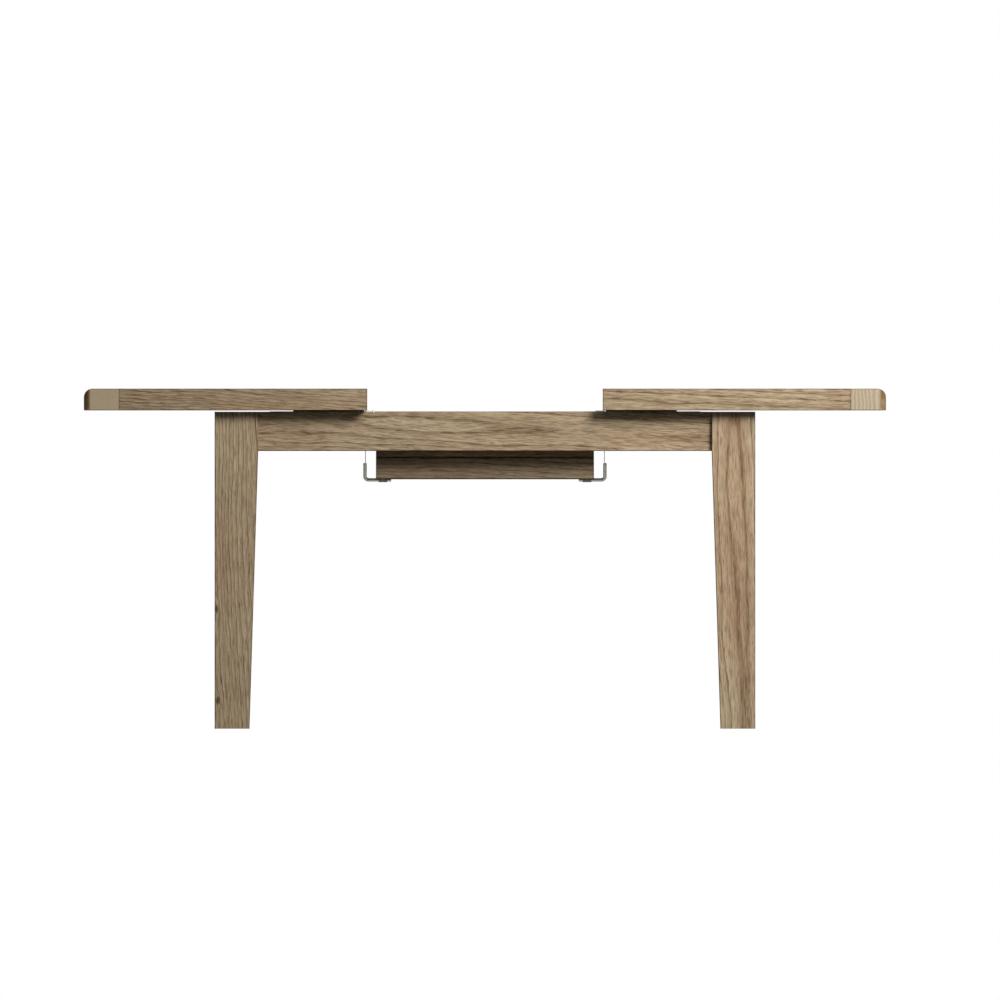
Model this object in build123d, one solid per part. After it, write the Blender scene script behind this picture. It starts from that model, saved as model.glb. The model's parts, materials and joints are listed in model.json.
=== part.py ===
from build123d import *
import math
import os

os.makedirs("parts", exist_ok=True)

# An extending dining table with a butterfly leaf, in millimetres.
# +X runs along the table, -Y is its front, +Z is up.
# The origin is on the floor under the middle of the table.
# It stands pulled fully open, with the folded leaf hanging under the opening.

# ---- Driving sizes of the top ----
half_length = 650.0  # one half of the top, along X
table_depth = 850.0
table_height = 780.0
edge_depth = 50.0  # height of the visible edge of the top
panel_thickness = 24.0
end_board_width = 80.0
lipping_width = 60.0
planks_per_half = 6
end_round = 20.0  # upper edge of each end of the table
corner_round = 16.0  # corners of the table, seen from above
arris = 1.5  # small easing of the outer edges
plank_arris = 0.6
tongue_length = 12.0
tongue_thickness = 8.0
tongue_clearance = 0.3
batten_width = 50.0
batten_thickness = 20.0
batten_end_gap = 135.0  # from the front and back of the top to a batten's ends
batten_offsets = (100.0, 325.0, 525.0)  # batten centres, from the inner edge
batten_screw_inset = 20.0  # from a batten's ends to its outer screws

# ---- Driving sizes of the leaf ----
leaf_length = 500.0
leaf_joint = 0.5  # gap between the two halves of the leaf when it is laid flat
leaf_arris = 2.5  # easing of the leaf's front and back edges, deep enough to open a groove when folded
leaf_drop = 158.0  # from the leaf's working height down to its stored height
extra_pull = 20.0  # room left on each side of the leaf at full opening

# ---- Driving sizes of the frame ----
overhang = 30.0  # closed top beyond the legs' outer faces
top_clearance = 3.0  # from the legs and aprons up to the top
leg_width = 100.0
foot_width = 80.0
leg_arris = 2.0
apron_height = 90.0
apron_thickness = 25.0
apron_setback = 10.0  # from the legs' outer faces to the aprons' outer faces
cross_rail_thickness = 25.0
cross_rail_above_pivot = 32.0
cross_rail_below_pivot = 18.0
tenon_length = 12.0
tenon_thickness = 14.0
tenon_height = 30.0
corner_block_thickness = 28.0
corner_block_gap = 3.0  # below the slide rails
corner_block_rise = 6.0  # above the bottom of the aprons
leg_flat = 8.0  # flat cut on the leg's inner corner for the corner block

# ---- Driving sizes of the slides ----
rail_height = 38.0
rail_depth = 22.0
rail_wall = 2.0
rail_lip = 8.0
rail_proud = 1.0  # rail top above the apron top
rail_end = 54.0  # rail beyond the carriage at full opening
rail_screw_inset = 22.0  # from the rail's ends, and from the leaf's ends, to the rail screws
carriage_length = 163.0
carriage_inset = 7.0  # from the inner edge of the half
carriage_screw_inset = 24.5  # from the carriage's ends to its outer screws
slider_gap = 0.3  # above and below the slider, inside the rail
slider_side_gap = 3.0  # to the rail's web, room for the screw heads
slider_lip_gap = 2.0  # behind the rail's lips
neck_gap = 0.5
riser_thickness = 12.0
riser_gap = 8.0  # from the rail's lips to the riser
flange_width = 12.0
flange_thickness = 6.0
end_stop_length = 12.0
stop_gap = 0.3
pad_height = 2.7
pad_length = 18.0
pad_inset = 13.0  # from full opening edge to the pad's inner end
pad_lug = 4.0
pad_lug_drop = 7.0  # from the pad's top to the tip of its lug
pad_lug_thickness = 1.0

# ---- Driving sizes of the swing arms ----
arm_radius = 95.0  # from the pivot to the arm's foot
pivot_drop = 74.0  # from the underside of the top down to the pivots
foot_drop = 1.2  # foot axis below the leaf's lipping
arm_spread = 160.0  # between the front and back arms
arm_side_gap = 25.2  # from the leaf's end to the rod's centre
rod_radius = 4.0
bend_radius = 8.5
foot_cover = 35.0  # length of leaf above each foot
rod_run = 41.2  # rod length up the arm
weld_length = 12.0
plate_offset = 1.2  # plate centre, inward of the rod centre
plate_thickness = 2.0
plate_width = 16.0
eye_radius = 9.0
cross_rail_gap = 1.8  # from the rod to the cross rail
running_clearance = 0.05
pivot_radius = 4.0
pivot_head_radius = 7.0
pivot_head_height = 3.0
pivot_thread_radius = 3.0
pivot_thread_length = 20.0
spacer_radius = 8.0
side_clearance = 0.15
stop_pin_radius = 3.0
stop_pin_depth = 16.0
lower_stop_reach = 12.8  # stop pin centre from the pivot, stored side
upper_stop_reach = 30.0  # stop pin centre from the pivot, raised side

# ---- Driving sizes of the leaf's fittings ----
arm_block_depth = 36.0
arm_block_length = 40.0
arm_block_inset = 4.0
saddle_clearance = 0.1
saddle_thickness = 1.3
saddle_length = 20.0
saddle_inset = 6.0
saddle_tab = 11.0  # from the foot's axis to the screws beside it
block_screw_grip = 9.6  # length of a block's own screws inside the block
hinge_length = 50.0
hinge_plate_width = 20.0
hinge_plate_thickness = 1.5
hinge_screw_gap = 12.0  # from the hinge's axis to its screws
hinge_screw_spacing = 18.0
hinge_places = (-170.0, 0.0, 170.0)
knuckle_radius = 2.0
knuckle_count = 5
knuckle_gap = 0.1
knuckle_relief = 0.3
hinge_pin_radius = 1.0
latch_inset = 32.0  # lever pivot from its board's edge
keeper_inset = 14.0  # keeper screw from its board's edge
lever_thickness = 2.8
lever_gap = 0.4
lever_width = 12.0
lever_eye_radius = 8.0
lever_head_radius = 10.0
lever_tail = 22.0
lever_tab_drop = 12.0
keeper_clearance = 0.3

# ---- Driving sizes of the fasteners ----
hanger_radius = 4.0
hanger_in_leg = 48.0
hanger_end = 12.0
hanger_spacing = 20.0
nut_height = 7.0
nut_radius = 6.5
nut_flange_radius = 9.0
nut_flange_height = 1.5
hole_clearance = 0.5
screw_radius = 2.0
screw_head_radius = 4.0
screw_head_height = 2.0
frame_screw_length = 16.0
top_screw_length = 20.0
small_screw_radius = 1.75
small_screw_head_radius = 3.5
small_screw_head_height = 2.0
small_screw_length = 16.0
hinge_screw_radius = 1.5
hinge_screw_head_radius = 2.9
hinge_screw_head_height = 1.4
hinge_screw_length = 14.0
shoulder_radius = 3.0
shoulder_head_radius = 6.0
shoulder_head_height = 2.2
shoulder_thread_length = 14.0
counterbore_clearance = 0.4
block_screw_seat = 6.0  # wood left under the head in the corner blocks

# ---- Sizes that follow ----
top_bottom = table_height - edge_depth
panel_bottom = table_height - panel_thickness
pull_out = leaf_length / 2 + extra_pull
front_y = table_depth / 2
plank_field = table_depth - 2 * lipping_width
plank_width = plank_field / planks_per_half

frame_length = 2 * (half_length - overhang)
frame_depth = table_depth - 2 * overhang
leg_height = top_bottom - top_clearance
apron_bottom = leg_height - apron_height
leg_inner_x = frame_length / 2 - leg_width
leg_inner_y = frame_depth / 2 - leg_width
long_apron_outer = frame_depth / 2 - apron_setback
long_apron_inner = long_apron_outer - apron_thickness
end_apron_outer = frame_length / 2 - apron_setback
end_apron_inner = end_apron_outer - apron_thickness

rail_top = leg_height + rail_proud
rail_bottom = rail_top - rail_height
rail_inner = long_apron_inner - rail_depth
carriage_near = pull_out + carriage_inset
carriage_far = carriage_near + carriage_length
rail_half = carriage_far + rail_end
rail_screw_z = (rail_top + rail_bottom) / 2
rail_screw_x = [0.0]
for sign in (-1, 1):
    rail_screw_x.append(sign * (leaf_length / 2 - rail_screw_inset))
    rail_screw_x.append(sign * (rail_half - rail_screw_inset))
rail_screw_seats = [(x, long_apron_inner - rail_wall, rail_screw_z) for x in rail_screw_x]
riser_outer = rail_inner - riser_gap
riser_inner = riser_outer - riser_thickness
flange_inner = riser_inner - flange_width

leaf_half_depth = front_y - leaf_joint / 2
leaf_centre_y = leaf_joint / 2 + leaf_half_depth / 2
leaf_planks = planks_per_half // 2
leaf_plank_width = (leaf_half_depth - lipping_width) / leaf_planks
hinge_axis_z = table_height  # the two show faces meet when the leaf is folded

pivot_z = top_bottom - pivot_drop
stored_foot_z = top_bottom - leaf_drop - foot_drop
raised_foot_z = top_bottom - foot_drop
stored_angle = math.degrees(math.asin((stored_foot_z - pivot_z) / arm_radius))
raised_angle = 180 - math.degrees(math.asin((raised_foot_z - pivot_z) / arm_radius))
swing = raised_angle - stored_angle
stored_reach = arm_radius * math.cos(math.radians(stored_angle))
raised_reach = arm_radius * math.cos(math.radians(raised_angle))
raised_feet = [-leaf_centre_y - arm_spread / 2, -leaf_centre_y + arm_spread / 2]
pivots_y = [foot - raised_reach for foot in raised_feet]
store_shift = stored_reach - raised_reach

rod_x = leaf_length / 2 + arm_side_gap
plate_x = rod_x - plate_offset
foot_end_x = leaf_length / 2 - foot_cover
cross_rail_inner = rod_x + rod_radius + cross_rail_gap
cross_rail_outer = cross_rail_inner + cross_rail_thickness
cross_rail_bottom = pivot_z - cross_rail_below_pivot
cross_rail_top = pivot_z + cross_rail_above_pivot

latch_reach = latch_inset + keeper_inset
shoulder_length = lever_thickness + 2 * lever_gap


# ---- Helpers ----
lowest_first = (Align.CENTER, Align.CENTER, Align.MIN)


def block(x_low, x_high, y_low, y_high, z_low, z_high):
    """A box given by its lowest and highest corners."""
    centre = Pos((x_low + x_high) / 2, (y_low + y_high) / 2, (z_low + z_high) / 2)
    return centre * Box(x_high - x_low, y_high - y_low, z_high - z_low)


def bar(start, direction, radius, length):
    """A round bar that runs from start along direction."""
    return Plane(origin=start, z_dir=direction) * Cylinder(radius, length, align=lowest_first)


def opposite(direction):
    return tuple(-value for value in direction)


def screw(seat, direction, radius, length, head_radius, head_height):
    """A pan-head screw whose head bears at seat."""
    shank = bar(seat, direction, radius, length)
    return shank + bar(seat, opposite(direction), head_radius, head_height)


def prism_x(points, x_low, x_high):
    """A YZ outline carried from x_low to x_high."""
    face = make_face(Plane.YZ * Polyline(*points, close=True))
    return Pos(x_low, 0, 0) * extrude(face, x_high - x_low)


def flip_x(shape):
    return mirror(shape, Plane.YZ)


def flip_y(shape):
    return mirror(shape, Plane.XZ)


def four_corners(shape):
    """The shape and its copies at the other three corners of the table."""
    pair = [shape, flip_y(shape)]
    return pair + [flip_x(piece) for piece in pair]


def cut_all(board, tools):
    for tool in tools:
        board = board - tool
    return board


def chamfered_board(x_low, x_high, y_low, y_high, z_low, z_high, size):
    """A board whose two upper edges along X are eased."""
    board = block(x_low, x_high, y_low, y_high, z_low, z_high)
    return chamfer(board.faces().sort_by(Axis.Z)[-1].edges().filter_by(Axis.X), size)


parts = {}


# ---- Legs ----
def hanger_bars(radius):
    """Round bars along the two hanger bolts of the back right corner."""
    middle_z = (apron_bottom + corner_block_rise + rail_bottom - corner_block_gap) / 2
    seat = (leg_inner_x + leg_flat / 2, leg_inner_y + leg_flat / 2)
    inward = corner_block_thickness + hanger_end
    step = math.sqrt(0.5)
    start = (seat[0] - inward * step, seat[1] - inward * step)
    bars = []
    for offset in (-hanger_spacing / 2, hanger_spacing / 2):
        point = (start[0], start[1], middle_z + offset)
        bars.append(bar(point, (1, 1, 0), radius, inward + hanger_in_leg))
    return bars


def rail_pilots():
    """Pilot holes of the back rail's screws."""
    pilot = screw_radius + running_clearance
    return [bar(seat, (0, 1, 0), pilot, frame_screw_length) for seat in rail_screw_seats]


def leg():
    """The back right leg, tapered on its two inner faces below the aprons."""
    outer_x = frame_length / 2
    outer_y = frame_depth / 2
    post = block(leg_inner_x, outer_x, leg_inner_y, outer_y, apron_bottom, leg_height)
    foot_centre = Pos(outer_x - foot_width / 2, outer_y - foot_width / 2, 0)
    foot = foot_centre * Rectangle(foot_width, foot_width)
    knee_centre = Pos(outer_x - leg_width / 2, outer_y - leg_width / 2, apron_bottom)
    knee = knee_centre * Rectangle(leg_width, leg_width)
    shaft = loft([foot, knee])
    whole = post + shaft
    upright = [edge for edge in whole.edges() if abs(edge.tangent_at(0.5).Z) > 0.9]
    whole = fillet(upright, leg_arris)
    flat_place = Pos(leg_inner_x + leg_flat / 2, leg_inner_y + leg_flat / 2, leg_height) * Rot(0, 0, 45)
    beyond_flat = (Align.MAX, Align.CENTER, Align.CENTER)
    whole = whole - flat_place * Box(leg_width, leg_width, 2 * apron_height, align=beyond_flat)
    rail_space = block(0, rail_half + rail_wall, rail_inner, long_apron_inner, rail_bottom, rail_top)
    whole = cut_all(whole - rail_space, rail_pilots())
    return cut_all(whole, hanger_bars(hanger_radius + running_clearance))


right_back_leg = leg()
parts["leg_back_right"] = [right_back_leg]
parts["leg_front_right"] = [flip_y(right_back_leg)]
parts["leg_back_left"] = [flip_x(right_back_leg)]
parts["leg_front_left"] = [flip_x(flip_y(right_back_leg))]


# ---- Corner blocks, hanger bolts and their nuts ----
block_bottom = apron_bottom + corner_block_rise
block_top = rail_bottom - corner_block_gap
block_outer_sum = leg_inner_x + leg_inner_y + leg_flat
block_inner_sum = block_outer_sum - corner_block_thickness * math.sqrt(2)
wing_x = block_outer_sum - long_apron_inner - corner_block_thickness / 2
wing_y = block_outer_sum - end_apron_inner - corner_block_thickness / 2
block_screw_z = (block_bottom + block_top) / 2


def corner_block_screws():
    """The screws that hold the back right block to its two aprons."""
    seats = [((wing_x, long_apron_inner - block_screw_seat, block_screw_z), (0, 1, 0))]
    seats.append(((end_apron_inner - block_screw_seat, wing_y, block_screw_z), (1, 0, 0)))
    return seats


def corner_block():
    outline = Polyline(
        (block_outer_sum - long_apron_inner, long_apron_inner),
        (end_apron_inner, block_outer_sum - end_apron_inner),
        (end_apron_inner, block_inner_sum - end_apron_inner),
        (block_inner_sum - long_apron_inner, long_apron_inner),
        close=True,
    )
    body = Pos(0, 0, block_bottom) * extrude(make_face(outline), block_top - block_bottom)
    body = cut_all(body, hanger_bars(hanger_radius + hole_clearance))
    for seat, direction in corner_block_screws():
        body = body - bar(seat, direction, screw_radius + running_clearance, frame_screw_length)
        bore = screw_head_radius + counterbore_clearance
        body = body - bar(seat, opposite(direction), bore, corner_block_thickness)
    return body


def hanger_nut(height):
    """A hexagon flange nut tightened on the inner face of the back right block."""
    step = math.sqrt(0.5)
    inward = corner_block_thickness * step
    place = (leg_inner_x + leg_flat / 2 - inward, leg_inner_y + leg_flat / 2 - inward, height)
    plane = Plane(origin=place, z_dir=(-1, -1, 0))
    nut = extrude(RegularPolygon(nut_radius, 6, major_radius=False), nut_height)
    nut = nut + Cylinder(nut_flange_radius, nut_flange_height, align=lowest_first)
    nut = nut - Cylinder(hanger_radius + running_clearance, 3 * nut_height)
    return plane * nut


parts["corner_blocks"] = four_corners(corner_block())
hanger_bolts = hanger_bars(hanger_radius)
parts["hanger_bolts"] = [piece for bolt in hanger_bolts for piece in four_corners(bolt)]
nut_heights = [block_screw_z - hanger_spacing / 2, block_screw_z + hanger_spacing / 2]
parts["hanger_bolt_nuts"] = [piece for height in nut_heights for piece in four_corners(hanger_nut(height))]


# ---- Slide rails, their screws and end stops ----
def slide_rail():
    """The back rail, a C-section that opens towards the middle of the table."""
    rail = block(-rail_half, rail_half, rail_inner, long_apron_inner, rail_bottom, rail_top)
    hollow_y = (rail_inner + rail_wall, long_apron_inner - rail_wall)
    hollow_z = (rail_bottom + rail_wall, rail_top - rail_wall)
    rail = rail - block(-rail_half, rail_half, *hollow_y, *hollow_z)
    slot_z = (hollow_z[0] + rail_lip, hollow_z[1] - rail_lip)
    rail = rail - block(-rail_half, rail_half, rail_inner, hollow_y[0], *slot_z)
    for seat in rail_screw_seats:
        rail = rail - bar(seat, (0, 1, 0), screw_radius + running_clearance, rail_wall)
    return rail


def end_stop():
    """A block that fills the back rail just outside the right carriage."""
    near = carriage_far + stop_gap
    far = near + end_stop_length
    y_low = rail_inner + rail_wall
    y_high = long_apron_inner - rail_wall
    return block(near, far, y_low, y_high, rail_bottom + rail_wall, rail_top - rail_wall)


back_rail = slide_rail()
parts["slide_rail_back"] = [back_rail]
parts["slide_rail_front"] = [flip_y(back_rail)]
parts["slide_end_stops"] = four_corners(end_stop())


def frame_screw(seat, direction):
    return screw(seat, direction, screw_radius, frame_screw_length, screw_head_radius, screw_head_height)


rail_screws = [frame_screw(seat, (0, 1, 0)) for seat in rail_screw_seats]
frame_screws = rail_screws + [flip_y(piece) for piece in rail_screws]
for seat, direction in corner_block_screws():
    frame_screws += four_corners(frame_screw(seat, direction))
parts["frame_screws"] = frame_screws


# ---- Aprons and cross rails ----
def tenon(clearance):
    """The tenon at the back end of the right cross rail."""
    middle_x = (cross_rail_inner + cross_rail_outer) / 2
    middle_z = (cross_rail_bottom + cross_rail_top) / 2
    half_thickness = tenon_thickness / 2 + clearance
    half_height = tenon_height / 2 + clearance
    y_high = long_apron_inner + tenon_length + clearance
    x_range = (middle_x - half_thickness, middle_x + half_thickness)
    return block(*x_range, long_apron_inner, y_high, middle_z - half_height, middle_z + half_height)


def apron_arris(board, axis):
    """Ease the lower edges of an apron along the given axis."""
    lower = board.edges().filter_by(axis).group_by(Axis.Z)[0]
    return chamfer(lower, arris)


def long_apron():
    board = block(-leg_inner_x, leg_inner_x, long_apron_inner, long_apron_outer, apron_bottom, leg_height)
    board = apron_arris(board, Axis.X)
    mortise = tenon(tongue_clearance)
    pilot = screw_radius + running_clearance
    holes = [mortise, flip_x(mortise)] + rail_pilots()
    seat, direction = corner_block_screws()[0]
    hole = bar(seat, direction, pilot, frame_screw_length)
    holes += [hole, flip_x(hole)]
    return cut_all(board, holes)


def end_apron():
    board = block(end_apron_inner, end_apron_outer, -leg_inner_y, leg_inner_y, apron_bottom, leg_height)
    board = apron_arris(board, Axis.Y)
    seat, direction = corner_block_screws()[1]
    hole = bar(seat, direction, screw_radius + running_clearance, frame_screw_length)
    return cut_all(board, [hole, flip_y(hole)])


back_apron = long_apron()
right_apron = end_apron()
parts["apron_back"] = [back_apron]
parts["apron_front"] = [flip_y(back_apron)]
parts["apron_right"] = [right_apron]
parts["apron_left"] = [flip_x(right_apron)]


def around_pivot(pivot_y, angle, reach):
    """The y and z of a point at an angle and a reach from a pivot."""
    turn = math.radians(angle)
    return pivot_y + reach * math.cos(turn), pivot_z + reach * math.sin(turn)


def stop_points(pivot_y):
    """The stop pins that an arm meets when stored and when raised."""
    side = plate_width / 2 + stop_pin_radius + stop_gap
    lower = stored_angle - math.degrees(math.asin(side / lower_stop_reach))
    upper = raised_angle + math.degrees(math.asin(side / upper_stop_reach))
    return [around_pivot(pivot_y, lower, lower_stop_reach), around_pivot(pivot_y, upper, upper_stop_reach)]


stops = [point for pivot_y in pivots_y for point in stop_points(pivot_y)]
pin_start_x = plate_x - plate_thickness


def cross_rail():
    y_range = (-long_apron_inner, long_apron_inner)
    rail = block(cross_rail_inner, cross_rail_outer, *y_range, cross_rail_bottom, cross_rail_top)
    rail = rail + tenon(0) + flip_y(tenon(0))
    thread = pivot_thread_radius + running_clearance
    for pivot_y in pivots_y:
        rail = rail - bar((cross_rail_inner, pivot_y, pivot_z), (1, 0, 0), thread, pivot_thread_length)
    pin_hole = stop_pin_radius + running_clearance
    for y, z in stops:
        rail = rail - bar((cross_rail_inner, y, z), (1, 0, 0), pin_hole, stop_pin_depth)
    return rail


right_cross_rail = cross_rail()
parts["cross_rail_right"] = [right_cross_rail]
parts["cross_rail_left"] = [flip_x(right_cross_rail)]


# ---- Pivot bolts, spacers and stop pins on the cross rails ----
def pivot_bolt(pivot_y):
    """A shoulder bolt through an arm's eye and a spacer into the right cross rail."""
    seat_x = plate_x - plate_thickness / 2 - side_clearance
    seat = (seat_x, pivot_y, pivot_z)
    bolt = bar(seat, (1, 0, 0), pivot_radius, cross_rail_inner - seat_x)
    bolt = bolt + bar(seat, (-1, 0, 0), pivot_head_radius, pivot_head_height)
    thread_start = (cross_rail_inner, pivot_y, pivot_z)
    return bolt + bar(thread_start, (1, 0, 0), pivot_thread_radius, pivot_thread_length)


def pivot_spacer(pivot_y):
    start_x = plate_x + plate_thickness / 2 + side_clearance
    start = (start_x, pivot_y, pivot_z)
    length = cross_rail_inner - start_x
    ring = bar(start, (1, 0, 0), spacer_radius, length)
    return ring - bar(start, (1, 0, 0), pivot_radius + running_clearance, length)


def both_sides(pieces):
    return pieces + [flip_x(piece) for piece in pieces]


pin_length = cross_rail_inner + stop_pin_depth - pin_start_x
parts["arm_pivot_bolts"] = both_sides([pivot_bolt(y) for y in pivots_y])
parts["arm_pivot_spacers"] = both_sides([pivot_spacer(y) for y in pivots_y])
pins = [bar((pin_start_x, y, z), (1, 0, 0), stop_pin_radius, pin_length) for y, z in stops]
parts["arm_stop_pins"] = both_sides(pins)


# ---- Glide pads on the long aprons ----
def glide_pad():
    near = pull_out - pad_inset
    y_range = (long_apron_inner, long_apron_outer)
    pad = block(near, near + pad_length, *y_range, leg_height, leg_height + pad_height)
    top = leg_height + pad_height
    lug_tip = (near - pad_lug / 2, top - pad_lug_drop)
    corners = [(near - pad_lug, top), (near, top), (near, leg_height), lug_tip]
    lug_face = make_face(Plane.XZ * Polyline(*corners, close=True))
    lug_middle = long_apron_outer + pad_lug_thickness / 2
    lug = Pos(0, lug_middle, 0) * extrude(lug_face, pad_lug_thickness / 2, both=True)
    link = block(near - pad_lug, near, *y_range, leg_height, leg_height + pad_height)
    return pad + lug + link


parts["glide_pads"] = four_corners(glide_pad())


# ---- Swing arms ----
def swing_arm(pivot_y):
    """A right-hand arm, stored: a bent rod with a plate welded into its upper end."""
    straight = rod_run - bend_radius
    rod = Pos(rod_x, 0, bend_radius) * Cylinder(rod_radius, straight, align=lowest_first)
    bend_face = Plane(origin=(rod_x, 0, bend_radius)) * Circle(rod_radius)
    bend_axis = Axis((rod_x - bend_radius, 0, bend_radius), (0, 1, 0))
    rod = rod + revolve(bend_face, bend_axis, 90)
    foot_length = rod_x - bend_radius - foot_end_x
    rod = rod + bar((foot_end_x, 0, 0), (1, 0, 0), rod_radius, foot_length)
    half_plate = plate_thickness / 2
    half_width = plate_width / 2
    low = rod_run - weld_length
    plate = block(plate_x - half_plate, plate_x + half_plate, -half_width, half_width, low, arm_radius)
    eye_start = (plate_x - half_plate, 0, arm_radius)
    plate = plate + bar(eye_start, (1, 0, 0), eye_radius, plate_thickness)
    plate = plate - bar(eye_start, (1, 0, 0), pivot_radius + running_clearance, plate_thickness)
    arm = rod + plate
    place = Pos(0, pivot_y + stored_reach, stored_foot_z) * Rot(stored_angle + 90, 0, 0)
    return place * arm


front_arm = swing_arm(pivots_y[0])
back_arm = swing_arm(pivots_y[1])
parts["front_arm_right"] = [front_arm]
parts["front_arm_left"] = [flip_x(front_arm)]
parts["back_arm_right"] = [back_arm]
parts["back_arm_left"] = [flip_x(back_arm)]


# ---- Latch levers and shoulder screws ----
def shoulder_screw(x, y):
    """A shoulder screw up into a panel, at the panel's underside."""
    seat = (x, y, panel_bottom - shoulder_length)
    fastener = bar(seat, (0, 0, 1), shoulder_radius, shoulder_length)
    fastener = fastener + bar(seat, (0, 0, -1), shoulder_head_radius, shoulder_head_height)
    return fastener + bar((x, y, panel_bottom), (0, 0, 1), screw_radius, shoulder_thread_length)


def shoulder_pilot(x, y):
    return bar((x, y, panel_bottom), (0, 0, 1), screw_radius + running_clearance, shoulder_thread_length)


def latch_lever(x, y):
    """A hook lever under a panel, parked towards the front."""
    outline = Pos(latch_reach / 2, 0) * Rectangle(latch_reach, lever_width)
    outline = outline + Circle(lever_eye_radius) + Pos(latch_reach, 0) * Circle(lever_head_radius)
    outline = outline + Pos(-lever_tail / 2, 0) * Rectangle(lever_tail, lever_width)
    slot = shoulder_radius + keeper_clearance
    track = Circle(latch_reach + slot) - Circle(latch_reach - slot)
    entry = Pos(latch_reach, lever_head_radius) * Rectangle(4 * slot, 2 * lever_head_radius)
    outline = outline - Pos(latch_reach, 0) * Circle(slot) - (track & entry)
    outline = outline - Circle(shoulder_radius + running_clearance)
    lever = extrude(outline, lever_thickness)
    tab_x = (-lever_tail, -lever_tail + lever_thickness)
    lever = lever + block(*tab_x, -lever_width / 2, lever_width / 2, -lever_tab_drop, lever_thickness)
    return Pos(x, y, panel_bottom - lever_gap - lever_thickness) * Rot(0, 0, -90) * lever


# ---- Halves of the top ----
def table_panel(y_low, width, count, x_low, x_high, pilots, tongue):
    """Planks side by side along X, with their tongues at the right end."""
    planks = []
    for index in range(count):
        y_near = y_low + index * width
        y_far = y_near + width
        plank = chamfered_board(x_low, x_high, y_near, y_far, panel_bottom, table_height, plank_arris)
        if tongue:
            middle = (panel_bottom + table_height) / 2
            z_range = (middle - tongue_thickness / 2, middle + tongue_thickness / 2)
            plank = plank + block(x_high, x_high + tongue_length, y_near, y_far, *z_range)
        reach = width / 2 + shoulder_radius
        near = [pilot for pilot in pilots if abs(pilot.center().Y - y_near - width / 2) < reach]
        planks.append(cut_all(plank, near))
    return planks


def lipping_outline(ease):
    """A back lipping's section, eased along its outer edges."""
    inner_y = front_y - lipping_width
    return [
        (inner_y, top_bottom),
        (front_y - ease, top_bottom),
        (front_y, top_bottom + ease),
        (front_y, table_height - ease),
        (front_y - ease, table_height),
        (inner_y, table_height),
    ]


def eased_section():
    """The section across the whole top, eased along its front and back edges."""
    back = lipping_outline(arris)[1:-1]
    front = [(-y, z) for y, z in reversed(back)]
    return back + front


board_inner = pull_out + half_length - end_board_width
board_outer = pull_out + half_length


def end_board():
    """The right end board: three outlines crossed, so that each edge keeps its own rounding."""
    side = make_face(
        Plane.XZ
        * Polyline(
            (board_inner, top_bottom),
            (board_outer - arris, top_bottom),
            (board_outer, top_bottom + arris),
            (board_outer, table_height),
            (board_inner, table_height),
            close=True,
        )
    )
    along_y = extrude(side, front_y, both=True)
    upper = along_y.edges().filter_by(Axis.Y).sort_by(Axis.X)[-2:].sort_by(Axis.Z)[-1]
    along_y = fillet(upper, end_round)
    plan = block(board_inner, board_outer, -front_y, front_y, top_bottom, table_height)
    plan = fillet(plan.edges().filter_by(Axis.Z).group_by(Axis.X)[-1], corner_round)
    board = along_y & plan & prism_x(eased_section(), board_inner, board_outer)
    middle = (panel_bottom + table_height) / 2
    half_groove = tongue_thickness / 2 + tongue_clearance
    groove_end = board_inner + tongue_length + tongue_clearance
    groove_y = (-plank_field / 2, plank_field / 2)
    return board - block(board_inner, groove_end, *groove_y, middle - half_groove, middle + half_groove)


batten_half = front_y - batten_end_gap
outer_screw_y = batten_half - batten_screw_inset
batten_screw_y = [-outer_screw_y, outer_screw_y]
for index in range(1, planks_per_half - 1):
    batten_screw_y.append(-plank_field / 2 + (index + 0.5) * plank_width)
flange_screw_y = flange_inner + flange_width / 2
carriage_middle = (carriage_near + carriage_far) / 2
carriage_screw_x = [
    carriage_near + carriage_screw_inset,
    carriage_middle,
    carriage_far - carriage_screw_inset,
]


def top_screw_seats():
    """Where the heads of the screws under the right half bear."""
    seats = []
    for offset in batten_offsets:
        for y in batten_screw_y:
            seats.append((pull_out + offset, y, panel_bottom - flange_thickness))
    for x in carriage_screw_x:
        for y in (-flange_screw_y, flange_screw_y):
            seats.append((x, y, panel_bottom - flange_thickness))
    return seats


def top_screw(seat):
    return screw(seat, (0, 0, 1), screw_radius, top_screw_length, screw_head_radius, screw_head_height)


def top_pilot(seat):
    return bar(seat, (0, 0, 1), screw_radius + running_clearance, top_screw_length)


def battens():
    pieces = []
    for offset in batten_offsets:
        middle = pull_out + offset
        x_range = (middle - batten_width / 2, middle + batten_width / 2)
        batten = block(*x_range, -batten_half, batten_half, panel_bottom - batten_thickness, panel_bottom)
        lower = batten.faces().sort_by(Axis.Z)[0].edges()
        batten = chamfer(lower, arris)
        for y in batten_screw_y:
            seat = (middle, y, panel_bottom - flange_thickness)
            batten = batten - top_pilot(seat)
            bore = screw_head_radius + counterbore_clearance
            batten = batten - bar(seat, (0, 0, -1), bore, batten_thickness)
        pieces.append(batten)
    return pieces


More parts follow.
